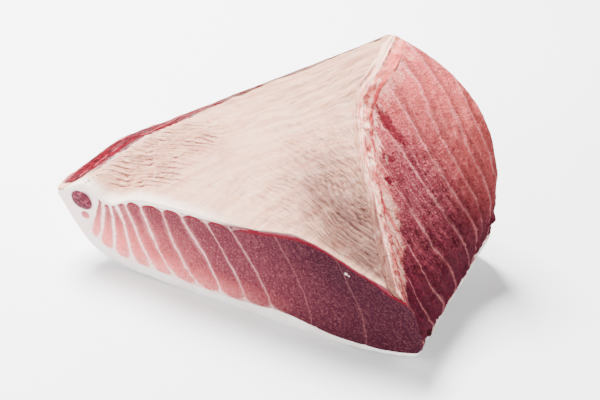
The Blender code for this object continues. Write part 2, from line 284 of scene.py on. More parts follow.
    def cavity(self, s: Array, v: Array) -> Array:
        """Top of the section: the cavity wall from the rim to the ridge."""
        x, z = self.blend(self.rim(v), self.ridge(v), s)
        to_near = np.clip(1.0 - v, 0.0, 1.0)
        near = to_near ** 1.5
        sag = self.arch_sag * v * np.minimum(1.0, self.width(v) / self.sag_width) ** 2
        round_s = np.clip(np.sin(math.pi * s), 0.0, 1.0)
        arch = (self.arch_near * near - sag) * round_s ** 0.8
        hump, swell, dip = (
            height * bell(s, centre, spread)
            for height, centre, spread in (self.hump, self.tip_swell, self.tip_dip)
        )
        tops = hump * near * (1.0 - s ** 10) + (swell - dip) * to_near ** 4
        fold = self.fold_depth * np.sin(2 * math.pi * self.fold_count * (v + 0.45 * s))
        fold = fold * bell(s, 0.80, 0.20) * round_s * np.sin(math.pi * v)
        return np.stack([x, z + arch + tops + fold])

    def height(self, s: Array, v: Array) -> Array:
        """Distance from the skin to the cavity wall's surface."""
        return np.hypot(*(self.cavity(s, v) - self.skin(s, v)))

    def section(self, s: Array, t: Array, v: Array) -> Array:
        """Point of a section, blended from its four sides."""
        bottom, top = self.skin(s, v), self.cavity(s, v)
        left, right = self.midline_cut(t, v), self.side_cut(t, v)
        low = self.blend(self.skin_edge(v), self.corner(v), s)
        high = self.blend(self.rim(v), self.ridge(v), s)
        ruled = bottom + (top - bottom) * t + left + (right - left) * s
        return ruled - low - (high - low) * t

    def place(self, x: Array, z: Array, v: Array) -> Array:
        """Put section points at their stations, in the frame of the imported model."""
        y = v * (self.far_cut_y + self.far_cut_skew * (self.far_cut_x - x))
        return rows(x - self.centre[0], y - self.centre[1], z)

    def points(self, s: Array, t: Array, v: Array) -> Array:
        """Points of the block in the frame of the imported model."""
        return self.place(*self.section(s, t, v), v)

    def column_line(self, k: int, v: Array) -> Array:
        """Share of the section at the line between two columns of cells."""
        width = self.width(v)
        least, extra, centre, spread = self.rim_width
        extra = extra * np.minimum(1.0, self.rim_start[0] + np.maximum(v, 0.0) / self.rim_start[1])
        rim = (least + extra * bell(v, centre, spread)) / width
        rim = np.maximum(np.minimum(rim, self.rim_share_most), 0.012)
        band = np.minimum(self.band_width / width, 0.40)
        white = self.tip_fat_column[0] + (self.tip_fat_column[1] - self.tip_fat_column[0]) * v
        return (np.zeros_like(v), rim, white, 1.0 - band, np.ones_like(v))[k]

    def row_line(self, k: int, s: Array, v: Array) -> Array:
        """Share of the section's height at the line between two rows of cells."""
        if k in (0, 4):
            return np.full_like(s, k / 4)
        height = self.height(s, v)
        wall = self.wall[0] + (self.wall[1] - self.wall[0]) * s
        wall = wall * (1.0 - 0.5 * bell(s, 0.06, 0.05) * np.clip(1.0 - v, 0.0, 1.0) ** 4)
        to_rim = bell(np.maximum(s - self.column_line(1, v), 0.0), 0.0, 0.03)
        to_band = bell(np.minimum(s - self.column_line(3, v), 0.0), 0.0, 0.03)
        deep = self.rim_depth * np.minimum(1.0, v / 0.15) - 0.001
        wall = wall + deep * to_rim * np.minimum(1.0, v / 0.08)
        wall = wall + (self.band_depth - self.wall[1]) * to_band
        lining = 1.0 - np.minimum(wall / height, 0.30)
        if k == 3:
            return lining
        fat = self.fat[0] + (self.fat[1] - self.fat[0]) * np.clip((s - 0.70) / 0.20, 0.0, 1.0)
        fat = np.minimum((fat + self.fat_hump * bell(s, 0.66, 0.08)) / height, 0.25)
        if k == 1:
            return fat
        end = self.end_height[0] + (self.end_height[1] - self.end_height[0]) * (1.0 - v) ** 5
        return np.maximum(np.minimum(lining - self.wedge / height, end / height), fat + 0.08)

    def normal(self, s: Array, t: Array, v: Array, side: Side) -> Array:
        """Outward direction of a side of the block at some of its points."""
        level = side in (Side.TOP, Side.UNDER)
        here = self.points(s, t, v)
        tangents = []
        for axis in (0 if level else 1, 2):
            shares = [s, t, v]
            back = np.where(shares[axis] > 0.5, -1.0, 1.0)
            shares[axis] = shares[axis] + PROBE * back
            tangents.append((self.points(*shares) - here) * back[:, None])
        normal = np.cross(*tangents) if level else np.cross(tangents[1], tangents[0])
        sign = 1.0 if side in (Side.TOP, Side.RIGHT) else -1.0
        return sign * normal / np.maximum(np.linalg.norm(normal, axis=1), 1e-12)[:, None]


FORM = BlockForm()


def read(items: bpy.types.bpy_prop_collection, name: str, per_item: int, kind: type = float) -> Array:
    """Values of a mesh's items, one row an item."""
    values = np.empty(len(items) * per_item, dtype=kind)
    items.foreach_get(name, values)
    return values.reshape(-1, per_item)


def store_uv(mesh: bpy.types.Mesh, name: str, u: Array, w: Array) -> None:
    """Store a pair of values at every face corner."""
    layer = mesh.uv_layers.new(name=name)
    layer.data.foreach_set("uv", np.stack([u, w], axis=1).astype(np.float32).ravel())


def stand_in(mesh: bpy.types.Mesh, co: Array, node: str, material: bpy.types.Material) -> None:
    """Write a mesh's vertices, dress it and let it stand for a solid.

    Args:
        mesh: Mesh whose name the piece takes.
        co: Place of every vertex.
        node: Node of the solid that the piece replaces.
        material: Its finish.
    """
    mesh.vertices.foreach_set("co", co.astype(np.float32).ravel())
    mesh.update()
    mesh.shade_smooth()
    mesh.set_sharp_from_angle(angle=math.radians(50))
    mesh.materials.append(material)
    piece = bpy.data.objects.new(mesh.name, mesh)
    bpy.context.scene.collection.objects.link(piece)
    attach(piece, "root")
    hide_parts(node)
    LOG.info("%s: %d faces", mesh.name, len(mesh.polygons))


@dataclass
class CellMesh:
    """Dense mesh of some cells of the block, with the section shares of every vertex.

    Attributes:
        name: Name of the piece.
        cells: Column and row of each cell of the section that it fills.
        columns: Number of faces across each of the four columns.
        rows: Number of faces up each of the four rows.
        stations: Number of faces along the block.
        overlap: How far it reaches into the layers above and below, so that no gap shows.
    """

    name: str
    cells: set[tuple[int, int]]
    columns: tuple[int, int, int, int]
    rows: tuple[int, int, int, int]
    stations: int
    overlap: float = 0.0004
    mesh: bpy.types.Mesh = field(init=False)
    s: Array = field(init=False)
    t: Array = field(init=False)
    v: Array = field(init=False)
    co: Array = field(init=False)
    quads: Array = field(init=False)
    side: Array = field(init=False)

    def __post_init__(self) -> None:
        """Make the cells' prism, then warp it into the block."""
        self.mesh = self._prism()
        grid = read(self.mesh.vertices, "co", 3)
        self.quads = read(self.mesh.polygons, "vertices", 4, int)
        self.side = self._sides(grid)
        self._shares(grid)
        self.co = FORM.points(self.s, self.t, self.v)

    def _prism(self) -> bpy.types.Mesh:
        """Straight prism whose x and y count columns and rows and whose z is the station."""
        columns, rows = sum(self.columns), sum(self.rows)
        bm = bmesh.new()
        bmesh.ops.create_grid(bm, x_segments=columns, y_segments=rows, size=0.5)
        across = [i + j / n for i, n in enumerate(self.columns) for j in range(n)] + [4.0]
        up = [i + j / n for i, n in enumerate(self.rows) for j in range(n)] + [4.0]
        for vert in bm.verts:
            vert.co.x = across[round((vert.co.x + 0.5) * columns)]
            vert.co.y = up[round((vert.co.y + 0.5) * rows)]
        outside = []
        for face in bm.faces:
            centre = face.calc_center_median()
            if (int(centre.x), int(centre.y)) not in self.cells:
                outside.append(face)
        bmesh.ops.delete(bm, geom=outside, context="FACES")
        raised = bmesh.ops.extrude_face_region(bm, geom=bm.faces[:], use_keep_orig=True)
        top = [item for item in raised["geom"] if isinstance(item, bmesh.types.BMVert)]
        bmesh.ops.translate(bm, verts=top, vec=(0.0, 0.0, 1.0))
        walls = [e for e in bm.edges if abs(e.verts[0].co.z - e.verts[1].co.z) > 0.5]
        bmesh.ops.subdivide_edges(bm, edges=walls, cuts=self.stations - 1, use_grid_fill=True)
        bm.normal_update()
        bmesh.ops.recalc_face_normals(bm, faces=bm.faces)
        bmesh.ops.reverse_faces(bm, faces=bm.faces)
        mesh = bpy.data.meshes.new(self.name)
        bm.to_mesh(mesh)
        bm.free()
        return mesh

    def _sides(self, grid: Array) -> Array:
        """Which side of its prism every face lies on."""
        corners = grid[self.quads]
        flat = np.ptp(corners, axis=1).argmin(axis=1)
        middle = corners.mean(axis=1)
        inside = np.zeros((5, 5), dtype=bool)
        inside[tuple(zip(*self.cells))] = True
        side = np.where(middle[:, 2] < 0.5, Side.NEAR.value, Side.FAR.value)
        for axis, low, high in ((0, Side.LEFT, Side.RIGHT), (1, Side.UNDER, Side.TOP)):
            before = middle[:, :2].copy()
            before[:, axis] -= 0.02
            column, row = before.astype(int).clip(0, 4).T
            held = inside[column, row] & (before[:, axis] > 0.0)
            side = np.where(flat == axis, np.where(held, high.value, low.value), side)
        return side

    def _shares(self, grid: Array) -> None:
        """Work out every vertex's shares across, up and along the block."""
        self.v = grid[:, 2].copy()
        column = np.clip(grid[:, 0].astype(int), 0, 3)
        lines = np.stack([FORM.column_line(k, self.v) for k in range(5)])
        every = np.arange(len(self.v))
        low, high = lines[column, every], lines[column + 1, every]
        self.s = low + (high - low) * (grid[:, 0] - column)
        row = np.clip(grid[:, 1].astype(int), 0, 3)
        lines = np.stack([FORM.row_line(k, self.s, self.v) for k in range(5)])
        low, high = lines[row, every], lines[row + 1, every]
        self.t = low + (high - low) * (grid[:, 1] - row)
        height = FORM.height(self.s, self.v)
        lowest = min(row for _, row in self.cells)
        highest = max(row for _, row in self.cells) + 1
        if lowest > 0:
            self.t -= np.where(grid[:, 1] < lowest + 1e-4, self.overlap / height, 0.0)
        if highest < 4:
            self.t += np.where(grid[:, 1] > highest - 1e-4, self.overlap / height, 0.0)

    def push(self, side: Side, amount: Array) -> None:
        """Move the vertices on one side along its outward direction."""
        where = np.unique(self.quads[self.side == side.value])
        s, t, v = self.s[where], self.t[where], self.v[where]
        if side in (Side.NEAR, Side.FAR):
            skew = 0.0 if side is Side.NEAR else FORM.far_cut_skew
            sign = -1.0 if side is Side.NEAR else 1.0
            normal = np.tile(sign * np.array([skew, 1.0, 0.0]) / math.hypot(skew, 1.0), (len(s), 1))
        else:
            normal = FORM.normal(s, t, v, side)
        self.co[where] += normal * amount[where][:, None]

    def corners(self) -> tuple[Array, Array, Array, Array]:
        """Shares across, up and along at every face corner, and the side of its face."""
        index = self.quads.ravel()
        return (self.s[index], self.t[index], self.v[index], np.repeat(self.side, 4))

    def add_uv(self, name: str, u: Array, w: Array) -> None:
        """Store a pair of values at every face corner."""
        store_uv(self.mesh, name, u, w)

    def add_tone(self, name: str, *channels: Array) -> None:
        """Store up to four values at every face corner, as a colour attribute."""
        values = np.zeros((len(self.quads) * 4, 4), dtype=np.float32)
        values[:, 3] = 1.0
        for k, channel in enumerate(channels):
            values[:, k] = channel
        layer = self.mesh.color_attributes.new(name=name, type="FLOAT_COLOR", domain="CORNER")
        layer.data.foreach_set("color", values.ravel())

    def finish(self, node: str, material: bpy.types.Material) -> None:
        """Let the piece stand for the solid of the given node."""
        stand_in(self.mesh, self.co, node, material)


class Term:
    """A shader value that Python's operators work on."""

    def __init__(self, finish: "Finish", socket: bpy.types.NodeSocket) -> None:
        """Wrap a node's output."""
        self.finish = finish
        self.socket = socket

    def math(self, operation: str, *others: "Term | float", first: "Term | float | None" = None) -> "Term":
        """Math node on this value and others; first puts another value before it."""
        values = [self, *others] if first is None else [first, self, *others]
        return self.finish.node("ShaderNodeMath", {"operation": operation}, dict(enumerate(values)))

    __add__ = partialmethod(math, "ADD")
    __radd__ = partialmethod(math, "ADD")
    __sub__ = partialmethod(math, "SUBTRACT")
    __mul__ = partialmethod(math, "MULTIPLY")
    __rmul__ = partialmethod(math, "MULTIPLY")
    __truediv__ = partialmethod(math, "DIVIDE")
    __pow__ = partialmethod(math, "POWER")
    __abs__ = partialmethod(math, "ABSOLUTE")
    fract = partialmethod(math, "FRACT")
    least = partialmethod(math, "MINIMUM")
    most = partialmethod(math, "MAXIMUM")

    def __rsub__(self, other: float) -> "Term":
        """Difference from a number."""
        return self.math("SUBTRACT", first=other)

    def step(self, low: "Term | float", high: "Term | float") -> "Term":
        """Smooth step from 0 at low to 1 at high."""
        inputs = {"Value": self, "From Min": low, "From Max": high}
        return self.finish.node("ShaderNodeMapRange", {"interpolation_type": "SMOOTHSTEP"}, inputs)


@dataclass
class Finish:
    """A procedural material: its name, its even values and the tree that varies the rest."""

    name: str
    roughness: float = 0.4
    shine: float = 0.25
    coat: float = 0.0
    coat_roughness: float = 0.2
    soft: float = 0.0
    soft_scale: float = 0.004
    material: bpy.types.Material = field(init=False)
    tree: bpy.types.NodeTree = field(init=False)
    shader: bpy.types.ShaderNode = field(init=False)

    def __post_init__(self) -> None:
        """Start the material with its even values on the shader itself."""
        self.material = bpy.data.materials.new(self.name)
        self.material.use_nodes = True
        self.tree = self.material.node_tree
        self.shader = self.tree.nodes["Principled BSDF"]
        even = {
            "Roughness": self.roughness,
            "Specular IOR Level": self.shine,
            "Coat Weight": self.coat,
            "Coat Roughness": self.coat_roughness,
            "Subsurface Weight": self.soft,
            "Subsurface Radius": SOFT_RADIUS,
            "Subsurface Scale": self.soft_scale,
        }
        for name, value in even.items():
            self.shader.inputs[name].default_value = value

    def node(self, kind: str, settings: dict | None = None, inputs: dict | None = None,
             out: int = 0) -> Term:
        """Add a node.

        Args:
            kind: The node's type.
            settings: Its own settings, such as an operation.
            inputs: Values or terms for its sockets, by name or number.
            out: Number of the output that is wanted.

        Returns:
            The output, ready for more maths.
        """
        node = self.tree.nodes.new(kind)
        for key, value in (settings or {}).items():
            setattr(node, key, value)
        for key, value in (inputs or {}).items():
            if isinstance(value, Term):
                self.tree.links.new(value.socket, node.inputs[key])
            else:
                node.inputs[key].default_value = value
        return Term(self, node.outputs[out])

    def place(self) -> Term:
        """Object coordinates."""
        return self.node("ShaderNodeTexCoord", out=3)

    def pair(self, name: str) -> tuple[Term, Term]:
        """The two values of a stored pair."""
        uv = self.node("ShaderNodeUVMap", {"uv_map": name})
        split = self.node("ShaderNodeSeparateXYZ", None, {0: uv})
        return (split, Term(self, split.socket.node.outputs[1]))

    def tones(self, name: str) -> tuple[Term, Term, Term]:
        """The three values of a stored colour attribute."""
        colour = self.node("ShaderNodeAttribute", {"attribute_name": name})
        split = self.node("ShaderNodeSeparateColor", None, {0: colour})
        outputs = split.socket.node.outputs
        return (split, Term(self, outputs[1]), Term(self, outputs[2]))

    def vector(self, x: Term | float, y: Term | float, z: Term | float = 0.0) -> Term:
        """Vector of three values."""
        return self.node("ShaderNodeCombineXYZ", None, {0: x, 1: y, 2: z})

    def noise(self, vector: Term, scale: float, detail: float = 3.0, rough: float = 0.55) -> Term:
        """Smooth noise, mostly between 0.3 and 0.7."""
        inputs = {"Vector": vector, "Scale": scale, "Detail": detail, "Roughness": rough}
        return self.node("ShaderNodeTexNoise", None, inputs)

    def drawn(self, x: Term, y: Term, detail: float = 3.0) -> Term:
        """Noise over a pair of values instead of a place."""
        return self.noise(self.vector(x, y), 1.0, detail)

    def spots(self, place: Term, marks: Marks) -> Term:
        """Soft round marks.

        Args:
            place: Object coordinates.
            marks: Place and radius of each mark, in millimetres.

        Returns:
            One inside a mark, and zero away from all of them.
        """
        total = None
        for *point, radius in np.array(marks) * 0.001:
            settings = {"operation": "DISTANCE"}
            away = self.node("ShaderNodeVectorMath", settings, {0: place, 1: point}, out=1)
            mark = 1.0 - away.step(radius * 0.55, radius * 1.25)
            total = mark if total is None else total.most(mark)
        return total

    def mix(self, factor: Term | float, low: Term | tuple, high: Term | tuple) -> Term:
        """Colour a share of the way from low to high."""
        return self.node("ShaderNodeMix", {"data_type": "RGBA"}, {0: factor, 6: low, 7: high}, out=2)

    def layered(self, base: Term | tuple, *layers: tuple) -> Term:
        """Colour with others laid over it, each given as its share and its colour."""
        for share, colour in layers:
            base = self.mix(share, base, colour)
        return base

    def paint(self, colour: Term, roughness: Term | None = None, height: Term | None = None,
              depth: float = 0.001) -> bpy.types.Material:
        """Feed the shader what varies over the surface and return the material."""
        self.tree.links.new(colour.socket, self.shader.inputs["Base Color"])
        if roughness:
            self.tree.links.new(roughness.socket, self.shader.inputs["Roughness"])
        if height:
            bump = self.node("ShaderNodeBump", None, {"Height": height, "Distance": depth, "Strength": 1.0})
            self.tree.links.new(bump.socket, self.shader.inputs["Normal"])
        return self.material


@dataclass(frozen=True)
class FatLines:
    """Fat lines of the flesh as a phase that is a whole number at every line.

    Attributes:
        tops: Share across the near cut where each line meets the lining.
        leans: How much further across it is at the skin.
        stations: Share along the side cut of each line there, at about half height.
        curve_heights: Heights at which the curve of the side's lines is given.
        curve_shifts: How far they are shifted along at those heights.
        far_step: Distance across between the lines of the far cut, in metres.
        far_lean: How much those lean.
        far_bend: How much those curve.
        widths: Width of each line of the near cut, in millimetres, about.
    """

    tops: tuple[float, ...] = (
        0.000, 0.118, 0.144, 0.163, 0.180, 0.205, 0.255, 0.322, 0.375, 0.446, 0.516, 0.648, 0.820, 1.020
    )
    leans: tuple[float, ...] = (
        0.000, 0.020, 0.042, 0.092, 0.140, 0.165, 0.152, 0.113, 0.130, 0.130, 0.138, 0.110, 0.053, 0.010
    )
    stations: tuple[float, ...] = (-0.16, -0.02, 0.12, 0.265, 0.43, 0.605, 0.72, 0.80, 0.875, 0.95, 1.05)
    curve_heights: tuple[float, ...] = (0.0, 0.20, 0.35, 0.45, 0.60, 0.75, 0.90, 1.0)
    curve_shifts: tuple[float, ...] = (0.06, 0.05, 0.012, 0.0, 0.012, 0.05, 0.10, 0.13)
    far_step: float = 0.027
    far_lean: float = 0.34
    far_bend: float = 2.2
    widths: tuple[float, ...] = (2.0, 2.6, 3.1, 2.9, 2.5, 1.8, 1.7, 1.2, 1.3, 1.0, 0.85, 0.36, 0.28, 0.2)

    @staticmethod
    def phase(value: Array, knots: list[Array]) -> Array:
        """Count of the lines passed, with the share of the way to the next one."""
        total = np.zeros_like(value)
        for low, high in zip(knots, knots[1:]):
            total += np.clip((value - low) / (high - low), 0.0, 1.0)
        return total

    def across(self, s: Array, t: Array) -> Array:
        """Phase on a cut across the block."""
        drop = np.clip(1.0 - t, 0.0, 1.0) ** 1.1
        knots = [top + lean * drop for top, lean in zip(self.tops, self.leans)]
        return self.phase(s, knots)

    def along(self, t: Array, v: Array) -> Array:
        """Phase on a cut along the block."""
        shift = np.polyval(np.polyfit(self.curve_heights, self.curve_shifts, 4), t)
        return self.phase(v - shift, [np.full_like(v, station) for station in self.stations])

    def far(self, x: Array, z: Array) -> Array:
        """Phase on the far cut, where the lines run down side by side."""
        return (x + self.far_lean * z + self.far_bend * (z - 0.09) ** 2) / self.far_step + 6.0

    def width(self, phase: Array) -> Array:
        """Width in millimetres of the nearest line on a cut across the block."""
        return np.interp(np.round(phase), np.arange(len(self.widths)), self.widths)


LINES = FatLines()


@dataclass
class Flesh:
    """Red flesh between the fat under the skin and the cavity wall."""

    tags: tuple[tuple[float, float, float], ...] = ((0.97, 0.115, 0.0045), (0.985, 0.30, 0.0030))
    mesh: CellMesh = field(init=False)

    def shape(self) -> None:
        """Lobes between the fat lines on the cuts, and the torn fibres of the side cut."""
        cells = {(2, 1), (3, 1), (0, 2), (1, 2), (2, 2), (3, 2)}
        self.mesh = CellMesh("lobed_flesh", cells, (3, 8, 92, 8), (2, 34, 66, 2), 170)
        m = self.mesh
        rough = Grain(11).sample(m.co, 0.006, 3)
        phase = LINES.across(m.s, m.t)
        lobe = np.abs(np.sin(math.pi * phase)) ** 0.6
        inside = ramp(m.v, 0.0, 0.03) * (1.0 - ramp(m.v, 0.97, 1.0)) * ramp(m.s, 0.0, 0.03)
        m.push(Side.TOP, -0.0020 * inside * (1.0 - ramp(m.s, 0.96, 1.0)))
        for cut in (Side.NEAR, Side.FAR):
            m.push(cut, 0.0008 * lobe + 0.0004 * rough)
        along = LINES.along(m.t, m.v)
        fibres = rows(along * 14.0, m.t * 9.0, 0.0)
        flakes = rows(along * 3.0, m.t * 12.0, 3.0)
        torn = 0.0006 * Grain(12).sample(fibres, 1.0, 2) + 0.0010 * Grain(13).sample(flakes, 1.0, 2)
        dip = 0.0012 * (1.0 - np.abs(np.sin(math.pi * along)) ** 0.35)
        crumb = 0.0009 * Grain(14).sample(m.co, 0.0045, 2) * (1.0 - 0.6 * ramp(m.t, 0.5, 0.9))
        tags = np.zeros_like(m.s)
        for v, t, reach in self.tags:
            tags += reach * bell(m.v, v, 0.012) * bell(m.t, t, 0.020)
        hidden = bell((FORM.row_line(3, m.s, m.v) - m.t) * FORM.height(m.s, m.v), 0.0, 0.004)
        m.push(Side.RIGHT, (torn - dip + crumb) * (1.0 - hidden) + tags)
        m.push(Side.LEFT, 0.5 * torn - dip)

    def dress(self) -> None:
        """Store the phase of the fat lines, their size and the tones of every face."""
        m = self.mesh
        s, t, v, side = m.corners()
        x, _, z = m.co[m.quads.ravel()].T
        near, far = side == Side.NEAR.value, side == Side.FAR.value
        across, along, far_phase = LINES.across(s, t), LINES.along(t, v), LINES.far(x, z)
        on_side = (side == Side.RIGHT.value) | (side == Side.LEFT.value)
        height = FORM.height(s, v)
        near_spacing = FORM.width(v) * PROBE / np.maximum(LINES.across(s + PROBE, t) - across, 1e-5)
        side_spacing = SIDE_RUN * PROBE / np.maximum(LINES.along(t, v + PROBE) - along, 1e-5)
        cuts = [near, far]
        spacing = np.select(cuts, [near_spacing, LINES.far_step], side_spacing)
        width = np.select(cuts, [LINES.width(across), 1.9 - 1.4 * ramp(x, -0.08, 0.14)], 0.70)
        down = np.select(cuts, [t * height, z], t * SIDE_RISE)
        grain = np.select(cuts, [across, far_phase], along)
        m.add_uv("grain", grain, down)
        reach = np.clip(spacing, 0.001, 0.08)
        m.add_tone("line", reach / DECIMETRE, width / THICK_LINE, on_side.astype(float))
        pale_near = (1.0 - ramp(s, 0.16, 0.50)) * (1.0 - 0.94 * ramp(t, 0.28, 0.84))
        pale_near = pale_near + 0.60 * (1.0 - ramp(t, 0.12, 0.45)) * (1.0 - ramp(s, 0.42, 0.72))
        pale_far = (1.0 - ramp(x, -0.15, 0.03)) * (1.0 - 0.5 * ramp(z, 0.04, 0.12))
        pale_far = pale_far + 0.50 * (1.0 - ramp(z, -0.02, 0.12))
        # painted light and shade on the side cut: paler near its top, darker towards its bottom and its near
        # end; its pale far end is the flesh's own colour
        pale_side = ramp(v, 0.62, 0.98) * ramp(t, 0.05, 0.60) + 0.30 * ramp(t, 0.70, 0.95)
        pale = np.select(cuts, [pale_near, pale_far], pale_side)
        deep_side = 1.0 - ramp(t / (0.95 - 0.45 * v), 0.10, 1.0) * ramp(v, 0.02, 0.55)
        deep_side = np.where(side == Side.LEFT.value, 0.25 * t, deep_side)
        deep_near = np.clip(ramp(s, 0.40, 0.93) + 0.25 * ramp(s, 0.20, 0.42) * ramp(t, 0.45, 0.90), 0.0, 1.0)
        deep = np.select(cuts, [deep_near, ramp(x, 0.00, 0.14)], deep_side)
        tip = near & (s < FORM.tip_fat_column[0] * 0.98)
        m.add_tone("tone", np.clip(pale, 0.0, 1.0), deep, tip.astype(float))
        below = (FORM.row_line(3, s, v) - t) * height
        lowest = np.where(s < FORM.column_line(2, v), FORM.row_line(2, s, v), FORM.row_line(1, s, v))
        above = (t - lowest) * height
        shreds = bell(v, 0.64, 0.12) + 0.35 * ramp(v, 0.70, 0.85)
        gaps = (np.clip(gap / DECIMETRE, 0.0, 1.0) for gap in (below, above))
        m.add_tone("edge", *gaps, shreds)
        m.add_tone("veil", bell(v, 0.34, 0.20) * (side == Side.RIGHT.value))

    def build(self, finish: "FleshFinish") -> None:
        """Make the piece."""
        self.shape()
        self.dress()
        self.mesh.finish("red_flesh", finish.material())


@dataclass
class SkinFat:
    """Fat and white skin under the flesh and along the ventral edge."""

    mesh: CellMesh = field(init=False)

    def build(self, finish: "FatFinish") -> None:
        """Make the piece."""
        cells = {(0, 0), (1, 0), (2, 0), (3, 0), (0, 1), (1, 1)}
        self.mesh = CellMesh("fat_and_skin", cells, (6, 14, 140, 14), (8, 26, 2, 2), 110)
        m = self.mesh
        rough = Grain(21).sample(m.co, 0.012, 3)
        fine = Grain(22).sample(m.co, 0.004, 2)
        for cut in (Side.NEAR, Side.FAR):
            m.push(cut, 0.0005 * rough + 0.0002 * fine)
        m.push(Side.LEFT, 0.0008 * rough)
        m.push(Side.RIGHT, 0.0006 * rough)
        m.push(Side.UNDER, -np.abs(0.0008 * rough + 0.0002 * fine))
        s, t, v, side = m.corners()
        height = FORM.height(s, v)
        under = (side == Side.UNDER.value).astype(float)
        edge = np.where(s < FORM.tip_fat_column[0], 0.0, FORM.row_line(1, s, v))
        below = np.clip((edge - t) * height, 0.0, 1.0)
        m.add_uv("grain", s * FORM.width(v), v * SIDE_RUN)
        m.add_tone("tone", under, below / DECIMETRE)
        m.finish("skin_fat", finish.material())


@dataclass
class Membrane:
    """Creased pale lining of the belly cavity."""

    mesh: CellMesh = field(init=False)

    @staticmethod
    def patch(s: Array, v: Array) -> Array:
        """How strong the curved creases of the left end are."""
        return bell(s, 0.21, 0.12) * ramp(v, 0.03, 0.10) * (1.0 - ramp(v, 0.38, 0.55))

    @staticmethod
    def arcs(s: Array, v: Array) -> Array:
        """Count of the curved creases passed."""
        return v / 0.026 + 45.0 * (s - 0.34) ** 2

    def relief(self) -> Array:
        """Height of the creases over the lining."""
        m = self.mesh
        broad = Grain(31).sample(m.co, 0.030, 2)
        fine = Grain(32).sample(m.co, 0.007, 2)
        arcs = self.arcs(m.s, m.v) + 0.8 * broad + 0.35 * fine
        scallop = np.abs(np.sin(math.pi * arcs)) ** 0.4 - 0.8
        patch = self.patch(m.s, m.v)
        slant = (m.v + 0.42 * m.s) / 0.030 + 1.1 * broad + 0.3 * fine
        folds = np.abs(np.sin(math.pi * slant)) ** 0.5 - 0.7
        low = ramp(m.s, 0.42, 0.66) * ramp(m.v, 0.02, 0.10) * (1.0 - ramp(m.v, 0.45, 0.70))
        drawn = rows(m.s * FORM.width(m.v) / 0.011, m.v * 3.5, broad * 0.4)
        ropes = Grain(33).sample(drawn, 1.0, 3) * ramp(m.v, 0.25, 0.55)
        lumps = Grain(36).sample(m.co * np.array([1.0, 1.6, 1.0]), 0.014, 2)
        total = 0.0036 * scallop * patch + 0.0016 * folds * low + 0.0010 * ropes
        return total + 0.0012 * broad + 0.0008 * lumps + 0.0004 * fine

    def build(self, finish: "MembraneFinish") -> None:
        """Make the piece."""
        self.mesh = CellMesh("cavity_lining", {(1, 3), (2, 3)}, (3, 12, 172, 2), (2, 2, 2, 3), 240)
        m = self.mesh
        m.push(Side.TOP, self.relief())
        for cut, seed in ((Side.NEAR, 34), (Side.FAR, 35)):
            m.push(cut, 0.0004 * Grain(seed).sample(m.co, 0.005, 2) + 0.0009)
        s, t, v, side = m.corners()
        cut = ((side == Side.NEAR.value) | (side == Side.FAR.value)).astype(float)
        edge = 1.0 - ramp(v, 0.0, 0.06)
        m.add_uv("grain", s * FORM.width(v), v)
        m.add_uv("arcs", self.arcs(s, v), self.patch(s, v))
        low = ramp(s, 0.50, 0.88) * ramp(v, 0.0, 0.05) * (1.0 - ramp(v, 0.40, 0.75))
        depth = (1.0 - t) * FORM.height(s, v)
        lip = (1.0 - ramp(depth, 0.0004, 0.0016)) * (1.0 - 0.8 * ramp(s, 0.50, 0.70))
        red = (side == Side.NEAR.value) * ramp(s, 0.44, 0.56) * (1.0 - lip)
        m.add_tone("tone", cut, edge * (1.0 - ramp(s, 0.30, 0.60)), low)
        # painted shade over the lining's near right corner, beside the ridge
        painted_shade = ramp(s + 0.5 * v, 0.70, 0.98) * (1.0 - ramp(v, 0.22, 0.55)) * ramp(v, 0.0, 0.035)
        m.add_tone("edge", painted_shade, red)
        m.finish("cavity_wall", finish.material())


@dataclass
class RimStrip:
    """Deep red strip of muscle along the rim of the cavity wall."""

    mesh: CellMesh = field(init=False)

    def build(self, finish: "RimFinish") -> None:
        """Make the piece."""
        self.mesh = CellMesh("rim_strips", {(0, 3)}, (26, 2, 2, 2), (2, 2, 2, 12), 230)
        m = self.mesh
        line = FORM.column_line(1, m.v)
        across = m.s / line
        strands = rows(across * 5.0, m.v * 9.0, 0.0)
        ragged = rows(across * 1.5, m.v * 40.0, 0.0)
        ropes = Grain(41).sample(strands, 1.0, 2)
        knots = Grain(42).sample(ragged, 1.0, 3)
        fade = np.clip(line * FORM.width(m.v) / 0.012, 0.2, 1.0)
        m.push(Side.TOP, (0.0013 * ropes + 0.0004 * knots) * fade)
        m.push(Side.LEFT, 0.0006 * knots * fade)
        m.push(Side.NEAR, 0.0004 * knots)
        s, t, v, side = m.corners()
        flank = side == Side.LEFT.value
        down = (1.0 - t) * FORM.height(s, v)
        m.add_uv("grain", np.where(flank, -down / 0.008, across[m.quads.ravel()]), v)
        m.add_tone("tone", flank.astype(float), ramp(v, 0.4, 0.8), 1.0 - ramp(v, 0.0, 0.05))
        m.finish("rim_flesh", finish.material())


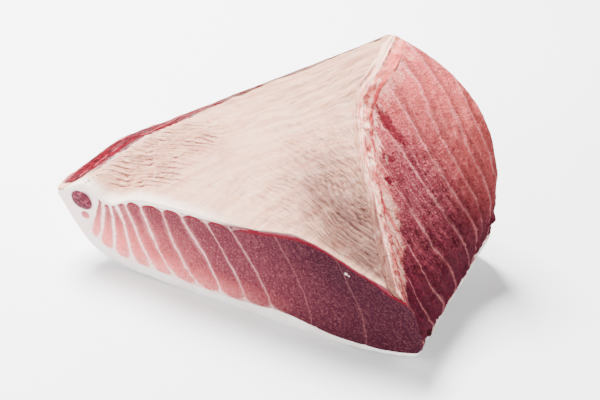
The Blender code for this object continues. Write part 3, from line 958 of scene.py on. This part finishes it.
@dataclass
class RidgeBand:
    """Torn connective tissue and flesh along the ridge over the side cut."""

    mesh: CellMesh = field(init=False)

    def build(self, finish: "RidgeFinish") -> None:
        """Make the piece."""
        self.mesh = CellMesh("ridge_tissue", {(3, 3)}, (2, 2, 2, 26), (2, 2, 2, 16), 250)
        m = self.mesh
        line = FORM.column_line(3, m.v)
        across = (m.s - line) / np.maximum(1.0 - line, 1e-4)
        ropes = rows(across * 4.0, m.v * 13.0, 0.0)
        ragged = rows(across * 2.0, m.v * 46.0, 0.0)
        long_ropes = Grain(51).sample(ropes, 1.0, 2)
        knots = Grain(52).sample(ragged, 1.0, 3)
        calm = (0.35 + 0.65 * ramp(m.v, 0.12, 0.35)) * (1.0 - 0.65 * ramp(m.v, 0.80, 0.92))
        m.push(Side.TOP, (0.0015 * long_ropes + 0.0008 * knots) * calm)
        down = (1.0 - m.t) * FORM.height(m.s, m.v)
        hang = rows(down / 0.003, m.v * 60.0, 0.0)
        m.push(Side.RIGHT, 0.0008 * Grain(53).sample(hang, 1.0, 2) + 0.0007 * knots)
        m.push(Side.NEAR, 0.0004 * knots)
        index = m.quads.ravel()
        _, _, v, side = m.corners()
        m.add_uv("grain", across[index], v)
        flank = (side == Side.RIGHT.value).astype(float)
        m.add_tone("tone", flank, np.clip(down[index] / 0.010, 0.0, 1.0), 1.0 - ramp(v, 0.24, 0.55))
        m.add_tone("peak", ramp(v, 0.80, 0.88), 1.0 - ramp(v, 0.40, 0.55))
        m.finish("ridge_band", finish.material())


@dataclass
class Strand:
    """Round muscle in the fat along the ventral edge.

    Attributes:
        name: Name of the piece.
        node: Node of the solid that it replaces.
        radius: Its radius.
        offsets: Its middle from the skin's edge, at the near and at the far cut.
        end: Share of the block's length that it runs.
        rings: Rings of faces on its ends.
        steps: Rings of edges along it.
        bulge: How far its cut end swells.
    """

    name: str
    node: str
    radius: float
    offsets: tuple[Pair, Pair]
    end: float
    rings: int
    steps: int
    bulge: float

    def build(self, finish: "KeelFinish") -> None:
        """Make the piece from a bar whose length becomes the station."""
        bm = bmesh.new()
        sides = 40
        bmesh.ops.create_cone(
            bm, cap_ends=True, segments=sides, radius1=self.radius, radius2=self.radius, depth=1.0
        )
        caps = [face for face in bm.faces if len(face.verts) > 4]
        for _ in range(self.rings):
            bmesh.ops.inset_region(bm, faces=caps, thickness=self.radius / (self.rings + 1))
        bars = [e for e in bm.edges if abs(e.verts[0].co.z - e.verts[1].co.z) > 0.5]
        bmesh.ops.subdivide_edges(bm, edges=bars, cuts=self.steps, use_grid_fill=True)
        mesh = bpy.data.meshes.new(self.name)
        bm.to_mesh(mesh)
        bm.free()
        bar = read(mesh.vertices, "co", 3)
        v = (bar[:, 2] + 0.5) * self.end
        axis = FORM.skin_edge(v) + FORM.blend(*self.offsets, v)
        radius = np.hypot(bar[:, 0], bar[:, 1])
        wave = 1.0 + 0.06 * Grain(61).sample(bar * np.array([90.0, 90.0, 0.0]), 1.0, 2)
        co = FORM.place(axis[0] + bar[:, 0] * wave * 1.03, axis[1] + bar[:, 1] * wave, v)
        swell = self.bulge * (1.0 - 0.6 * (radius / self.radius) ** 2)
        co[:, 1] -= np.where(v < 1e-6, swell, 0.0)
        co[:, 1] += np.where(v > self.end - 1e-6, swell if self.end == 1.0 else 0.0, 0.0)
        index = read(mesh.loops, "vertex_index", 1, int)[:, 0]
        turn = np.arctan2(bar[:, 1], bar[:, 0]) / (2 * math.pi)
        store_uv(mesh, "grain", radius[index] / self.radius, turn[index])
        stand_in(mesh, co, self.node, finish.material())


@dataclass
class FleshFinish:
    """Wet red flesh with pale fat lines and a fine speckle."""

    red: tuple = srgb(102, 45, 57)
    pale_red: tuple = srgb(238, 109, 108)
    deep_red: tuple = srgb(52, 21, 34)
    side_red: tuple = srgb(104, 36, 50)
    side_deep: tuple = srgb(70, 26, 40)
    side_pale: tuple = srgb(199, 87, 84)
    fat: tuple = srgb(248, 218, 212)
    halo: tuple = srgb(222, 134, 134)
    shred: tuple = srgb(234, 188, 168)
    veil: tuple = srgb(206, 156, 138)
    tissue: tuple = srgb(172, 84, 78)
    edge: tuple = srgb(112, 12, 30)
    fleck: tuple = srgb(226, 142, 136)
    spark: tuple = srgb(176, 52, 60)
    pit: tuple = srgb(74, 4, 22)
    blood: tuple = srgb(52, 6, 20)
    groove: Marks = (
        (64.6, 25.3, 157.1, 4.0), (69.7, 25.0, 157.0, 4.6), (75.9, 23.1, 155.4, 5.2),
        (81.9, 19.4, 152.0, 5.6), (87.4, 15.3, 148.5, 6.2), (93.2, 12.1, 145.4, 6.0),
        (98.4, 9.8, 143.0, 5.6), (104.1, 8.5, 141.0, 5.0), (109.2, 7.4, 139.0, 4.2),
        (98.4, -12.9, 134.6, 4.4), (103.4, -13.1, 133.0, 4.8), (110.6, -32.8, 125.1, 5.0)
    )
    dark_marks: Marks = (
        (-53.1, -129.0, 97.7, 1.8), (-2.3, -129.0, 100.1, 2.0),
        (186.7, -129.0, 48.2, 2.6), (185.9, -104.8, 27.7, 5.0)
    )
    # painted glint: a small pale sparkle on the near cut
    painted_glints: Marks = ((112.1, -129.0, 88.8, 1.7), (115.0, -129.0, 87.6, 1.0))

    def __post_init__(self) -> None:
        """Start the material and read the values stored over the surface."""
        f = Finish("flesh", roughness=0.42, shine=0.0, coat=0.03, coat_roughness=0.15, soft=0.08)
        self.f = f
        self.place = f.place()
        phase, self.height = f.pair("grain")
        spacing, self.width, self.on_side = f.tones("line")
        self.veiled, _, _ = f.tones("veil")
        self.pale, self.deep, self.tip = f.tones("tone")
        below, above, self.shredded = f.tones("edge")
        self.below, self.above = below * DECIMETRE, above * DECIMETRE
        self.on_cut = 1.0 - self.on_side
        self.reach = spacing * DECIMETRE
        self.wobble = f.noise(self.place, 55.0, 3.0) - 0.5
        self.ragged = f.noise(self.place, 340.0, 3.0) - 0.5
        self.moved = phase + (self.wobble * 0.0045 + self.ragged * 0.0022) / self.reach
        self.part = (self.moved + 0.5).fract() - 0.5

    def fat_line(self) -> tuple[Term, Term]:
        """Share of fat in a fat line, and of the paler flesh beside it."""
        f, width, on_side = self.f, self.width, self.on_side
        off = abs(self.part) * self.reach + (f.noise(self.place, 700.0, 3.0) - 0.5) * 0.0007
        patchy = f.noise(self.place, 38.0, 2.0).step(0.30, 0.62)
        foot = 1.0 - self.above.step(0.0, 0.012)
        half = width * 0.0027 * (patchy + 0.42) * (1.0 + foot * 0.9)
        faint = f.noise(self.place, 26.0, 2.0).step(0.36, 0.60)
        strength = (width.step(0.05, 0.42) * 0.90 + 0.12 + on_side * 0.26).least(1.0)
        low = (1.0 - self.height.step(0.012, 0.070)) * on_side
        slight = (1.0 - width.step(0.06, 0.15)) * self.on_cut
        line = (1.0 - off.step(half * 0.45, half * 1.45)) * strength
        line = line * (1.0 - faint * 0.45 * (1.0 - width.step(0.2, 0.5)))
        line = line * (1.0 - low * 0.55) * (1.0 - slight * 0.60)
        halo = (1.0 - off.step(half * 0.8, half * 4.5 + 0.0006)) * (strength * 0.8 + 0.2 - slight * 0.15)
        return (line, halo)

    def body(self) -> Term:
        """Colour of the flesh between the fat lines."""
        f, place, moved, height = self.f, self.place, self.moved, self.height
        pale, deep, on_side = self.pale, self.deep, self.on_side
        cloud = f.noise(place, 45.0, 4.0).step(0.30, 0.70)
        fleck = f.noise(place, 520.0, 4.0, 0.7).step(0.50, 0.68)
        blood = f.noise(place, 330.0, 4.0, 0.65).step(0.50, 0.64)
        fibre = f.drawn(moved * 16.0, height * 170.0).step(0.45, 0.72)
        streak = f.drawn(moved * 9.0, height * 34.0).step(0.48, 0.78)
        drawn = f.drawn(moved * 26.0, height * 22.0).step(0.46, 0.66)
        cut = f.mix(pale, f.mix(deep, self.red, self.deep_red), self.pale_red)
        side = f.mix(pale, f.mix(deep, self.side_red, self.side_deep), self.side_pale)
        body = f.mix(on_side, cut, side)
        spark = f.mix(deep * on_side, self.fleck, self.spark)
        return f.layered(
            f.mix(cloud * 0.30, body, f.mix(0.55, body, self.blood)),
            (fleck * (0.26 + on_side * 0.16) * (1.0 - deep * 0.60), spark),
            (blood * (0.28 + on_side * 0.42 * (1.0 - pale)), self.blood),
            (fibre * 0.12 * (1.0 - deep * 0.75), spark),
            (drawn * on_side * pale * 0.48, self.side_red),
            (streak * on_side * 0.24 * (1.0 - deep * 0.6), spark),
        )

    def scallop(self) -> Term:
        """White gaps over and under the rounded ends of the meat between two fat lines."""
        to_line = 1.0 - abs(self.part) * 2.0
        corner = 1.0 - (1.0 - to_line * to_line).most(0.0) ** 0.5
        top = to_line * to_line * (self.reach * 0.34).least(0.0058) + 0.0002 + self.ragged * 0.0022
        foot = corner * (self.reach * 0.40).least(0.0070) + 0.0006 + self.ragged * 0.0060
        over = 1.0 - (self.below - top).step(-0.0005, 0.0007)
        under = 1.0 - (self.above - foot).step(-0.0008, 0.0012)
        return over.most(under) * self.width.step(0.12, 0.34) * 0.95 * self.on_cut

    def torn_edge(self) -> tuple[tuple[Term, Term], tuple[Term, Term]]:
        """Shreds and tissue that hang over the side cut, each as its share and its colour."""
        f, moved, height, wobble = self.f, self.moved, self.height, self.wobble
        cloud = f.noise(self.place, 90.0, 3.0).step(0.40, 0.60)
        shreds = f.drawn(moved * 5.0, height * 120.0, 4.0).step(0.42, 0.60) * 0.010
        cover = (1.0 - (self.below - shreds - wobble * 0.016).step(-0.0005, 0.0020)) * self.on_side
        folds = f.drawn(moved * 4.0, height * 30.0, 4.0)
        over = self.below + wobble * 0.024 + self.ragged * 0.008 - self.veiled * 0.017
        over = (1.0 - over.step(-0.003, 0.003)) * self.veiled.step(0.02, 0.15) * self.on_side
        tissue = f.mix(folds.step(0.40, 0.60), self.veil, self.tissue)
        tissue = f.mix(f.noise(self.place, 190.0, 4.0).step(0.54, 0.66) * 0.55, tissue, self.pit)
        shredded = (cover * self.shredded * 0.62, f.mix(cloud * 0.6, self.shred, self.halo))
        return (shredded, (over * 0.82, tissue))

    def material(self) -> bpy.types.Material:
        """Lay everything over the flesh's own colour and return the material."""
        f, place, on_side, on_cut = self.f, self.place, self.on_side, self.on_cut
        line, halo = self.fat_line()
        beside = self.part + 0.5
        shade = beside.step(0.52, 0.66) * (1.0 - beside.step(0.66, 0.95)) * on_side
        skim = (self.below + self.ragged * 0.0012).step(0.0012, 0.0050)
        grit = f.noise(place, 240.0, 4.0, 0.65).step(0.36, 0.60)
        foot = (1.0 - self.above.step(0.002, 0.022)) * self.pale * on_cut
        groove = f.spots(place, self.groove)
        frayed = (groove * 0.8 + self.wobble * 1.2 + self.ragged * 1.5).step(0.40, 0.80)
        torn = (1.0 - (self.above + self.ragged * 0.012 + self.wobble * 0.010).step(0.0, 0.0022)) * on_side
        colour = f.layered(
            self.body(),
            (halo * (0.42 - on_side * 0.15), self.halo),
            (shade * 0.35, self.blood),
            ((1.0 - skim) * on_cut * 0.75, self.edge),
            (foot * grit * 0.20, self.fat),
            (line * (0.58 + grit * 0.38 - on_side * 0.22), f.mix(on_side * 0.66, self.fat, self.halo)),
            (self.scallop(), self.fat),
            *self.torn_edge(),
            (frayed * groove.step(0.05, 0.5) * 0.75, self.pit),
            (torn * 0.9, self.fat),
            (self.tip, srgb(244, 236, 232)),
            (f.spots(place, self.dark_marks) * 0.8, srgb(46, 10, 16)),
            # painted glint on the near cut, in the fat's colour
            (f.spots(place, self.painted_glints) * 0.65, self.fat),
        )
        speckle = f.noise(place, 520.0, 3.0).step(0.35, 0.70)
        rough = 0.50 - line * 0.08 + (speckle - 0.5) * 0.16
        strands = f.drawn(self.moved * 22.0, self.height * 90.0)
        relief = speckle * (0.35 + on_side * 0.25) + f.noise(place, 260.0, 3.0) * (0.5 + on_side * 0.9)
        return f.paint(colour, rough, relief + strands * on_side * 0.4 - line * 0.3, 0.0008)


@dataclass(frozen=True)
class FatFinish:
    """White fat with a smooth pale skin under it."""

    def material(self) -> bpy.types.Material:
        """Make the material."""
        f = Finish("skin_fat", roughness=0.40, coat=0.08, coat_roughness=0.25, soft=0.25, soft_scale=0.005)
        place = f.place()
        under, below, _ = f.tones("tone")
        cloud = f.noise(place, 60.0, 4.0).step(0.30, 0.70)
        fine = f.noise(place, 420.0, 3.0)
        colour = f.mix(cloud, srgb(248, 243, 240), srgb(236, 222, 218))
        upper = 1.0 - (below + (fine - 0.5) * 0.03).step(0.002, 0.030)
        colour = f.mix(upper * 0.30, colour, srgb(232, 160, 154))
        colour = f.mix(under * 0.8, colour, f.mix(cloud, srgb(226, 222, 222), srgb(186, 186, 192)))
        rough = 0.34 + fine * 0.22
        return f.paint(colour, rough, cloud * 0.5 + fine * 0.5, 0.0006)


@dataclass(frozen=True)
class MembraneFinish:
    """Cream lining, thin enough in places for the pink flesh to show, with painted shade in its creases, in
    its fine slits and over its near right corner.
    """

    cream: tuple = srgb(201, 156, 128)
    rose: tuple = srgb(168, 108, 90)
    white: tuple = srgb(250, 238, 228)
    flesh: tuple = srgb(138, 70, 66)
    painted_shade: tuple = srgb(88, 56, 54)
    dark_marks: Marks = (
        (-158.3, -127.0, 94.5, 1.5), (-157.1, -123.2, 94.5, 1.7), (-158.6, -120.0, 94.5, 1.1),
        (-156.0, -117.2, 94.5, 1.2), (-154.0, -112.5, 94.5, 1.6), (-152.2, -110.0, 94.5, 1.1),
        (-153.2, -103.9, 95.0, 1.4), (-149.6, -95.9, 95.5, 1.1)
    )

    def material(self) -> bpy.types.Material:
        """Make the material."""
        f = Finish("cavity_wall", roughness=0.45, shine=0.12, coat=0.05, coat_roughness=0.25, soft=0.18)
        place = f.place()
        s, v = f.pair("grain")
        cut, edge, low = f.tones("tone")
        painted_shade, red, _ = f.tones("edge")
        bend = f.noise(place, 18.0, 3.0) - 0.5
        arcs, patch = f.pair("arcs")
        drawn = f.vector(s * 110.0 + bend * 4.0, v * 5.0 + bend * 3.0)
        slope = v + s * 1.25
        slant = f.vector(slope * 60.0 + bend * 7.0, s * 20.0 + bend * 3.0)
        cloud = f.noise(drawn, 1.0, 5.0).step(0.32, 0.70)
        thin = f.noise(slant, 1.0, 5.0, 0.6).step(0.42, 0.66)
        thread = f.drawn(s * 420.0 + bend * 14.0, v * 14.0).step(0.52, 0.74)
        slits = f.drawn(slope * 170.0 + bend * 18.0, s * 40.0, 4.0).step(0.53, 0.66)
        # painted shade: the curved creases of the left end are darkened in the flesh's colour
        shaded_crease = (arcs + bend * 0.9 + f.noise(place, 140.0, 2.0) * 0.35).fract()
        shaded_crease = (1.0 - abs(shaded_crease - 0.5).step(0.02, 0.18)) * patch.step(0.10, 0.75)
        shaded_crease = shaded_crease * f.noise(place, 48.0, 2.0).step(0.38, 0.56)
        fine = f.noise(place, 520.0, 3.0)
        colour = f.layered(
            self.cream,
            # rose mottle and the pink lower right are the lining's own colour; the patch share is painted
            # shade over the creased left end
            (cloud * 0.70 + low * 0.20 + patch * 0.18, self.rose),
            (thread * 0.25, self.white),
            (shaded_crease * 0.70, self.flesh),
            (thin * low * 0.36, self.flesh),
            # painted shade: the fine slits of the lower right and the near right corner are darkened
            (slits * low * 0.58, self.painted_shade),
            (painted_shade * (thin * 0.25 + 0.66), self.painted_shade),
            ((cut + edge * 0.75).least(1.0) * 0.85, self.white),
            (red, srgb(112, 30, 46)),
            (f.spots(place, self.dark_marks) * 0.75, srgb(44, 50, 40)),
        )
        rough = 0.38 + fine * 0.22
        relief = cloud * 0.3 + thread * 0.25 + fine * 0.3 - shaded_crease * 1.2
        relief = relief - slits * low * 0.7 - thin * low * 0.5
        return f.paint(colour, rough, relief, 0.0014)


@dataclass(frozen=True)
class RimFinish:
    """Deep red strips with pale threads and a thin pink edge."""

    def material(self) -> bpy.types.Material:
        """Make the material."""
        f = Finish("rim_flesh", roughness=0.36, shine=0.06, coat=0.03, coat_roughness=0.15)
        across, along = f.pair("grain")
        flank, far, tip = f.tones("tone")
        wave = f.drawn(along * 12.0, across * 1.2) - 0.5
        lane = (across * 2.6 + wave * 0.9 + 0.15).fract()
        thread = 1.0 - abs(lane - 0.5).step(0.02, 0.09)
        broken = f.drawn(along * 26.0, across * 3.0, 2.0).step(0.42, 0.60)
        blot = f.drawn(along * 60.0, across * 9.0, 4.0).step(0.35, 0.68)
        outer = 1.0 - (abs(across) + wave * 0.2).step(0.03, 0.14)
        inner = (across + wave * 0.5 + blot * 0.1).step(0.90, 1.06)
        colour = f.layered(
            srgb(100, 1, 20),
            (blot, srgb(42, 0, 10)),
            (thread * broken * 0.55, srgb(214, 112, 110)),
            (outer * 0.5, srgb(224, 138, 132)),
            (flank * (broken * 0.3 + 0.2), srgb(206, 104, 100)),
            (inner * 0.8, srgb(234, 196, 184)),
            (far * (1.0 - broken) * 0.45, srgb(226, 184, 172)),
            ((tip + wave * 0.5).step(0.35, 0.75) * 0.9, srgb(228, 176, 156)),
        )
        return f.paint(colour, 0.36 + blot * 0.2, thread * 0.6 + blot * 0.2, 0.0008)


@dataclass(frozen=True)
class RidgeFinish:
    """Torn pale connective tissue over red flesh, with painted shade over its near end."""

    cream: tuple = srgb(234, 188, 166)
    pink: tuple = srgb(210, 112, 98)
    red: tuple = srgb(150, 38, 44)
    dark: tuple = srgb(92, 8, 22)
    painted_shade: tuple = srgb(84, 40, 38)
    meat: tuple = srgb(86, 24, 38)
    rosy: tuple = srgb(206, 84, 80)
    lining: tuple = srgb(196, 150, 124)
    lined: tuple = srgb(160, 108, 92)

    def material(self) -> bpy.types.Material:
        """Make the material."""
        f = Finish("ridge_band", roughness=0.40, shine=0.08, coat=0.05, coat_roughness=0.2, soft=0.10)
        place = f.place()
        across, along = f.pair("grain")
        flank, down, near = f.tones("tone")
        peak, fresh, _ = f.tones("peak")
        bend = f.noise(place, 40.0, 3.0) - 0.5
        drawn = f.vector(along * 20.0 + bend * 3.0, across * 4.0 + down * 2.0 + bend * 4.0)
        strand = f.noise(drawn, 1.0, 4.0)
        patch = f.noise(place, 70.0, 3.0).step(0.42, 0.60)
        pit = f.noise(place, 190.0, 4.0).step(0.55, 0.66)
        pale = f.mix(strand.step(0.40, 0.60), self.cream, self.pink)
        cover = (strand * 0.9 + 0.62 - down * 0.8 + bend * 1.2 - flank * 0.05).step(0.30, 0.62)
        flesh = f.mix(strand.step(0.35, 0.65), self.red, self.dark)
        above, far = 1.0 - flank, 1.0 - near
        lip = (across + bend * 0.7).step(0.74, 0.94)
        sheet = near * (1.0 - lip) * above
        inward = across + bend * 0.5
        lens = inward.step(0.18, 0.32) * (1.0 - inward.step(0.70, 0.84))
        lined = (1.0 - (inward - near * 0.20).step(0.40, 0.56)) * (1.0 - peak) * above
        inner = (1.0 - abs(across + bend * 0.6 - 0.52).step(0.03, 0.09)) * far
        cord = inner.most(1.0 - abs(across + bend * 0.3 - 0.93).step(0.02, 0.09)) * above
        lining = f.mix(strand.step(0.35, 0.70), self.lining, self.lined)
        colour = f.layered(
            flesh,
            (cover * (1.0 - patch * flank * 0.6), pale),
            (lens * far * above * 0.45, self.pink),
            # painted shade: the sheet and the lining colour at the ridge's near end are darkened
            (sheet * 0.92, f.mix(strand.step(0.42, 0.85) * 0.35, self.painted_shade, self.cream)),
            (lined * 0.9, f.mix(near * 0.75, lining, self.painted_shade)),
            (cord * 0.5, srgb(236, 198, 180)),
            (lip * above * patch * 0.45, self.red),
            (pit * (0.35 + flank * 0.45), self.dark),
            (fresh * flank * (down + bend).step(0.34, 0.62) * 0.3,
             f.mix(strand.step(0.35, 0.65) * 0.6, self.meat, srgb(150, 64, 76))),
            (peak * above * 0.8, self.cream),
            (peak * flank * (down + bend * 0.5).step(0.08, 0.26),
             f.mix(strand.step(0.40, 0.62), self.rosy, self.pink)),
        )
        relief = strand * 0.5 - pit * 0.5 + cord * 0.5
        return f.paint(colour, 0.40 + strand * 0.2, relief, 0.0012)


@dataclass(frozen=True)
class KeelFinish:
    """Small round muscle, dark purple red or pale pink."""

    name: str = "keel_muscle"
    body: tuple = srgb(64, 2, 24)
    light: tuple = srgb(92, 12, 38)

    def material(self) -> bpy.types.Material:
        """Make the material."""
        f = Finish(self.name, roughness=0.40, shine=0.06, coat=0.03, coat_roughness=0.2)
        place = f.place()
        radius, _ = f.pair("grain")
        fleck = f.noise(place, 300.0, 4.0, 0.6).step(0.50, 0.66)
        cloud = f.noise(place, 150.0, 3.0).step(0.30, 0.70)
        colour = f.layered(
            self.body,
            (cloud, self.light),
            (fleck * 0.28, srgb(206, 108, 124)),
            (radius.step(0.90, 1.0) * 0.6, srgb(236, 200, 200)),
        )
        return f.paint(colour, 0.32 + fleck * 0.15, fleck * 0.5 + cloud * 0.3, 0.0006)


@dataclass(frozen=True)
class Studio:
    """Camera, lights and pale floor of the photograph."""

    target: tuple[float, float, float] = (0.0328, -0.0585, 0.092)
    back: tuple[float, float, float] = (0.33581, -0.68852, 0.64279)
    distance: float = 1.395
    focal: float = 90.0

    def aim(self, name: str, data: bpy.types.ID, place: Vector) -> bpy.types.Object:
        """Put a camera or a lamp at a place, turned to the block."""
        item = bpy.data.objects.new(name, data)
        bpy.context.scene.collection.objects.link(item)
        item.location = place
        item.rotation_euler = (place - Vector(self.target)).to_track_quat("Z", "Y").to_euler()
        return item

    def camera(self) -> None:
        """Place the camera where the photograph was taken from."""
        data = bpy.data.cameras.new("camera")
        data.lens = self.focal
        data.sensor_width = 36.0
        place = Vector(self.target) + Vector(self.back) * self.distance
        bpy.context.scene.camera = self.aim("camera", data, place)

    def lamp(self, name: str, place: tuple, size: float, power: float) -> None:
        """Add a soft square lamp aimed at the block."""
        data = bpy.data.lights.new(name, "AREA")
        data.size = size
        data.energy = power
        self.aim(name, data, Vector(place))

    def floor(self) -> None:
        """Add the pale floor."""
        bm = bmesh.new()
        bmesh.ops.create_grid(bm, x_segments=1, y_segments=1, size=6.0)
        mesh = bpy.data.meshes.new("floor")
        bm.to_mesh(mesh)
        bm.free()
        f = Finish("floor", roughness=0.8)
        tone = f.noise(f.place(), 3.0, 2.0).step(0.3, 0.7)
        mesh.materials.append(f.paint(f.mix(tone, srgb(250, 250, 250), srgb(247, 247, 248))))
        floor = bpy.data.objects.new("floor", mesh)
        bpy.context.scene.collection.objects.link(floor)

    def sky(self) -> None:
        """Fill the room with even light."""
        world = bpy.data.worlds.new("room")
        world.use_nodes = True
        world.node_tree.nodes["Background"].inputs["Color"].default_value = (1.0, 1.0, 1.0, 1.0)
        world.node_tree.nodes["Background"].inputs["Strength"].default_value = 0.50
        bpy.context.scene.world = world

    def build(self) -> None:
        """Set up the whole studio."""
        self.camera()
        self.lamp("top", (-0.70, 0.40, 1.55), 0.8, 190.0)
        self.lamp("left", (-1.2, -1.2, 0.72), 0.9, 50.0)
        self.lamp("right", (1.5, 0.5, 1.2), 1.0, 16.0)
        self.floor()
        self.sky()


def main() -> None:
    """Build every layer, then the studio."""
    logging.basicConfig(level=logging.INFO)
    Flesh().build(FleshFinish())
    SkinFat().build(FatFinish())
    Membrane().build(MembraneFinish())
    RimStrip().build(RimFinish())
    RidgeBand().build(RidgeFinish())
    keel = Strand("keel_meat", "keel_muscle", FORM.keel_radius, FORM.keel_offset, 1.0, 6, 60, 0.0012)
    keel.build(KeelFinish())
    lobe_path = (FORM.lobe_offset, FORM.lobe_offset)
    lobe = Strand("keel_lobe_meat", "keel_lobe", FORM.lobe_radius, lobe_path, FORM.lobe_end, 3, 20, 0.0008)
    lobe.build(KeelFinish("keel_lobe", srgb(150, 42, 60), srgb(206, 104, 112)))
    Studio().build()


if __name__ == "__main__":
    main()
